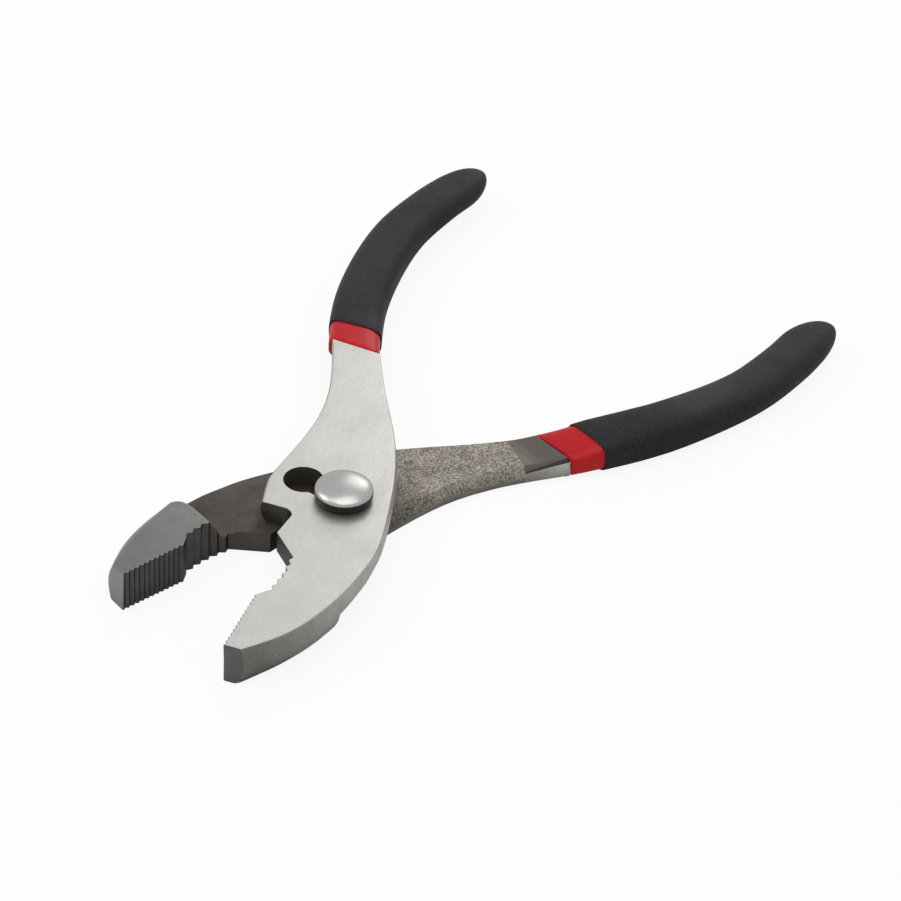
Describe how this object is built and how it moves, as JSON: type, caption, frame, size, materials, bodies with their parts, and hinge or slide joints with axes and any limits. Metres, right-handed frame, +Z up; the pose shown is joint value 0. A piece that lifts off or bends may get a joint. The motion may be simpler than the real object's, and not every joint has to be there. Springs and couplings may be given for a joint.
{
  "type": "slip joint pliers",
  "caption": "Slip joint pliers with toothed jaws, pipe grip and wire cutter, a two-position pivot slot and dipped black grips with red collars.",
  "frame": {"origin": "on the bolt's axis, in the plane of the lower half's ground face that the tool rests on", "axes": "+X from the bolt towards the jaws along the middle of the opening angle, +Y towards the upper half's jaw, +Z up out of the upper half's ground face"},
  "size_m": [0.1989, 0.1204, 0.0153],
  "materials": {
    "ground_steel": "ground bright on the faces, darker as forged on the edges",
    "forged_steel": "blasted as forged inside, ground on the back and nose",
    "bolt_steel": "satin turned head",
    "dark_steel": "oil blackened",
    "black_dip": "matte dipped vinyl with fine specks",
    "red_dip": "glossy dipped vinyl"
  },
  "bodies": {
    "lower": {"lower_half": "forged_steel", "pivot_bolt": "bolt_steel", "pivot_nut": "dark_steel", "lower_grip": "black_dip", "lower_grip_liner": "red_dip"},
    "washer": {"pivot_washer": "dark_steel"},
    "upper": {"upper_half": "ground_steel", "upper_grip": "black_dip", "upper_grip_liner": "red_dip"}
  },
  "joints": [
    {"name": "jaw_pivot", "type": "hinge", "parent": "lower", "child": "washer", "pos_m": [0, 0, 0], "axis": [0, 0, 1], "range_deg": [-32, 20]},
    {"name": "slot_slip", "type": "slide", "parent": "washer", "child": "upper", "axis": [-0.067, 0.9978, 0], "range_m": [0, 0.01126]}
  ]
}
